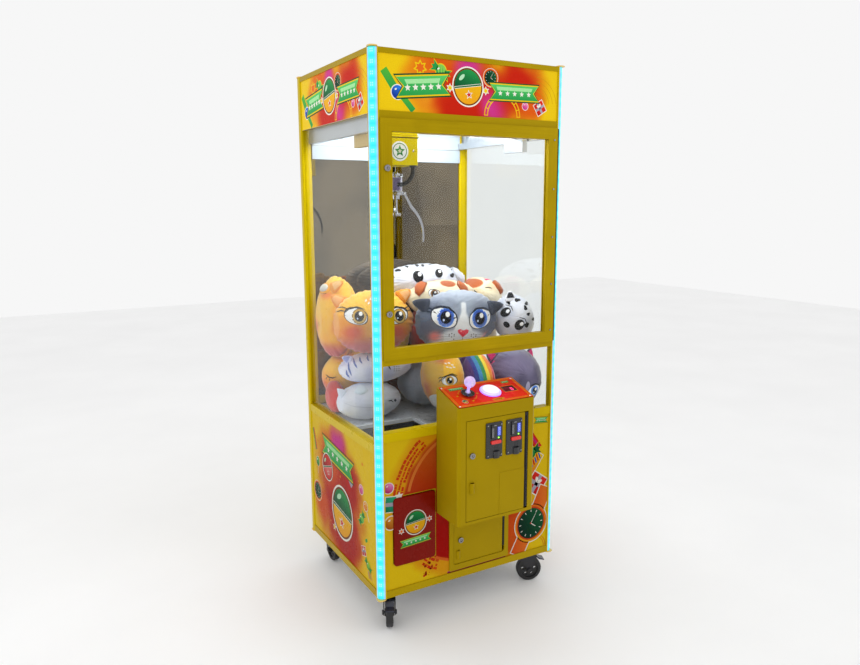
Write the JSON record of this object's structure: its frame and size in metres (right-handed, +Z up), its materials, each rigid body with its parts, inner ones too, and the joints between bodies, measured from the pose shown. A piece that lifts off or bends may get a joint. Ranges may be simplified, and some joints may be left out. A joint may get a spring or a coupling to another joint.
{
  "type": "claw crane machine",
  "caption": "Glazed prize cabinet on casters with a gantry claw over a heap of plush, a prize chute and flap, and a front control box with joystick, drop button and coin acceptors.",
  "frame": {"origin": "on the floor under the middle of the machine's overall footprint", "axes": "+Z up, front face and control box towards -Y, +X to the right as seen from the front"},
  "size_m": [0.768, 0.83, 1.975],
  "materials": {
    "golden_paint": "gloss",
    "cyan_lens": "lit diffuser",
    "yellow_cap": "gloss",
    "printed_panel": "printed, gloss",
    "yellow_paint": "gloss",
    "white_board": "satin",
    "clear_panel": "clear",
    "mirror_panel": "mirror",
    "clear_acrylic": "clear",
    "duct_sheet": "matt",
    "red_deck": "printed, gloss",
    "display_plastic": "dark red window",
    "white_bezel": "gloss",
    "rail_aluminium": "satin",
    "lamp": "lit tube",
    "inlet_plastic": "matt",
    "black_steel": "black coat",
    "plain_sheet": "galvanised",
    "black_hinge": "black coat",
    "plush": "short pile, several colours",
    "bright_lock": "chrome",
    "black_mech": "moulded",
    "red_button": "translucent red",
    "red_flap": "moulded, printed",
    "gimbal_plastic": "moulded",
    "crystal_ball": "clear ball on a black shaft",
    "lit_button": "lit dome",
    "trolley_yellow": "gloss",
    "cable_black": "coiled cord",
    "line": "wire",
    "claw_chrome": "plated",
    "caster_tread": "hard black tread"
  },
  "bodies": {
    "cabinet": {"corner_posts": "golden_paint", "led_lenses": "cyan_lens", "post_caps": "yellow_cap", "top_rails": "golden_paint", "cross_rails": "golden_paint", "sill_rails": "golden_paint", "base_rails": "golden_paint", "side_panels": "printed_panel", "front_panel": "printed_panel", "rear_and_roof_panels": "yellow_paint", "marquee_panels": "printed_panel", "ceiling_liner": "white_board", "window_panes": "clear_panel", "rear_mirror": "mirror_panel", "prize_deck": "white_board", "chute_guard": "clear_acrylic", "chute_duct": "duct_sheet", "control_box": "yellow_paint", "control_panel_plate": "red_deck", "credit_display": "display_plastic", "button_bezel": "white_bezel", "gantry_side_rails": "rail_aluminium", "light_tubes": "lamp", "power_inlet": "inlet_plastic", "caster_mounts": "black_steel", "cash_box": "plain_sheet", "floor_pan": "plain_sheet", "piano_hinges": "black_hinge", "cash_door_frame": "yellow_paint", "plush_prizes": "plush"},
    "front_door": {"door_frame": "golden_paint", "door_glass": "clear_panel", "door_hardware": "bright_lock"},
    "coin_door": {"coin_door": "yellow_paint", "coin_mechs": "black_mech", "coin_door_hardware": "bright_lock"},
    "coin_return_left": {"coin_return_button_left": "red_button"},
    "coin_return_right": {"coin_return_button_right": "red_button"},
    "cash_door": {"cash_door": "yellow_paint", "cash_door_lock": "bright_lock"},
    "prize_door": {"prize_door": "red_flap"},
    "joystick_gimbal": {"joystick_gimbal": "gimbal_plastic"},
    "joystick_lever": {"joystick_lever": "crystal_ball"},
    "drop_button": {"drop_button": "lit_button"},
    "bridge": {"bridge_beam": "trolley_yellow"},
    "trolley": {"trolley_housing": "trolley_yellow", "curly_cable": "cable_black", "hoist_line": "line"},
    "claw": {"claw_body": "claw_chrome"},
    "claw_finger_1": {"claw_finger_1": "claw_chrome"},
    "claw_finger_2": {"claw_finger_2": "claw_chrome"},
    "claw_finger_3": {"claw_finger_3": "claw_chrome"},
    "caster_left": {"caster_fork_left": "black_steel"},
    "caster_right": {"caster_fork_right": "black_steel"},
    "caster_wheel_front_left": {"caster_wheel_front_left": "caster_tread"},
    "caster_wheel_front_right": {"caster_wheel_front_right": "caster_tread"},
    "caster_wheel_rear_left": {"caster_wheel_rear_left": "caster_tread"},
    "caster_wheel_rear_right": {"caster_wheel_rear_right": "caster_tread"},
    "caster_brake_left": {"caster_brake_left": "gimbal_plastic"},
    "caster_brake_right": {"caster_brake_right": "gimbal_plastic"}
  },
  "joints": [
    {"name": "front_door_hinge", "type": "hinge", "parent": "cabinet", "child": "front_door", "pos_m": [0.3555, -0.264, 1.371], "axis": [0, 0, 1], "range_deg": [0, 110]},
    {"name": "coin_door_hinge", "type": "hinge", "parent": "cabinet", "child": "coin_door", "pos_m": [0.128, -0.405, 0.597], "axis": [0, 0, 1], "range_deg": [0, 100]},
    {"name": "coin_return_press_left", "type": "slide", "parent": "coin_door", "child": "coin_return_left", "axis": [0, 1, 0], "range_m": [0, 0.003], "stiffness_N_per_m": 250, "springref_m": -0.003},
    {"name": "coin_return_press_right", "type": "slide", "parent": "coin_door", "child": "coin_return_right", "axis": [0, 1, 0], "range_m": [0, 0.003], "stiffness_N_per_m": 250, "springref_m": -0.003},
    {"name": "cash_door_hinge", "type": "hinge", "parent": "cabinet", "child": "cash_door", "pos_m": [0.1395, -0.259, 0.283], "axis": [0, 0, 1], "range_deg": [0, 95]},
    {"name": "prize_door_hinge", "type": "hinge", "parent": "cabinet", "child": "prize_door", "pos_m": [-0.238, -0.257, 0.485], "axis": [1, 0, 0], "range_deg": [0, 60]},
    {"name": "joystick_tilt_front_back", "type": "hinge", "parent": "cabinet", "child": "joystick_gimbal", "pos_m": [-0.068, -0.32242, 0.81575], "axis": [1, 0, 0], "range_deg": [-10, 10], "stiffness_Nm_per_rad": 1.2},
    {"name": "joystick_tilt_left_right", "type": "hinge", "parent": "joystick_gimbal", "child": "joystick_lever", "pos_m": [-0.068, -0.32242, 0.81575], "axis": [0, 0.9582, 0.2861], "range_deg": [-10, 10], "stiffness_Nm_per_rad": 1.2},
    {"name": "drop_button_press", "type": "slide", "parent": "cabinet", "child": "drop_button", "axis": [0, 0.2861, -0.9582], "range_m": [0, 0.004], "stiffness_N_per_m": 450, "springref_m": -0.003},
    {"name": "bridge_travel", "type": "slide", "parent": "cabinet", "child": "bridge", "axis": [0, 1, 0], "range_m": [0, 0.37]},
    {"name": "trolley_travel", "type": "slide", "parent": "bridge", "child": "trolley", "axis": [1, 0, 0], "range_m": [0, 0.435]},
    {"name": "hoist_travel", "type": "slide", "parent": "trolley", "child": "claw", "axis": [0, 0, 1], "range_m": [-0.67, 0], "deforming": ["hoist_line", "curly_cable"]},
    {"name": "claw_finger_1_pivot", "type": "hinge", "parent": "claw", "child": "claw_finger_1", "pos_m": [-0.19, -0.105, 1.53], "axis": [0, 1, 0], "range_deg": [0, 31], "stiffness_Nm_per_rad": 0.1, "springref_deg": -34.38},
    {"name": "claw_finger_2_pivot", "type": "hinge", "parent": "claw", "child": "claw_finger_2", "pos_m": [-0.235, -0.07902, 1.53], "axis": [-0.866, -0.5, 0], "range_deg": [0, 31], "stiffness_Nm_per_rad": 0.1, "springref_deg": -34.38},
    {"name": "claw_finger_3_pivot", "type": "hinge", "parent": "claw", "child": "claw_finger_3", "pos_m": [-0.235, -0.13098, 1.53], "axis": [0.866, -0.5, 0], "range_deg": [0, 31], "stiffness_Nm_per_rad": 0.1, "springref_deg": -34.38},
    {"name": "caster_swivel_left", "type": "hinge", "parent": "cabinet", "child": "caster_left", "pos_m": [-0.312, -0.194, 0.125], "axis": [0, 0, 1], "continuous": true},
    {"name": "caster_spin_front_left", "type": "hinge", "parent": "caster_left", "child": "caster_wheel_front_left", "pos_m": [-0.32377, -0.21941, 0.05], "axis": [0.9074, -0.4202, 0], "continuous": true},
    {"name": "caster_brake_pedal_left", "type": "hinge", "parent": "caster_left", "child": "caster_brake_left", "pos_m": [-0.33427, -0.24209, 0.107], "axis": [0.9074, -0.4202, 0], "range_deg": [0, 12]},
    {"name": "caster_swivel_right", "type": "hinge", "parent": "cabinet", "child": "caster_right", "pos_m": [0.28, -0.196, 0.125], "axis": [0, 0, 1], "continuous": true},
    {"name": "caster_spin_front_right", "type": "hinge", "parent": "caster_right", "child": "caster_wheel_front_right", "pos_m": [0.30605, -0.20628, 0.05], "axis": [0.3671, 0.9302, 0], "continuous": true},
    {"name": "caster_brake_pedal_right", "type": "hinge", "parent": "caster_right", "child": "caster_brake_right", "pos_m": [0.3293, -0.21546, 0.107], "axis": [0.3671, 0.9302, 0], "range_deg": [0, 12]},
    {"name": "caster_spin_rear_left", "type": "hinge", "parent": "cabinet", "child": "caster_wheel_rear_left", "pos_m": [-0.313, 0.343, 0.05], "axis": [1, 0, 0], "continuous": true},
    {"name": "caster_spin_rear_right", "type": "hinge", "parent": "cabinet", "child": "caster_wheel_rear_right", "pos_m": [0.313, 0.343, 0.05], "axis": [1, 0, 0], "continuous": true}
  ],
  "couplings": [
    {"joint": "claw_finger_2_pivot", "follows": "claw_finger_1_pivot", "ratio": 1},
    {"joint": "claw_finger_3_pivot", "follows": "claw_finger_1_pivot", "ratio": 1}
  ]
}
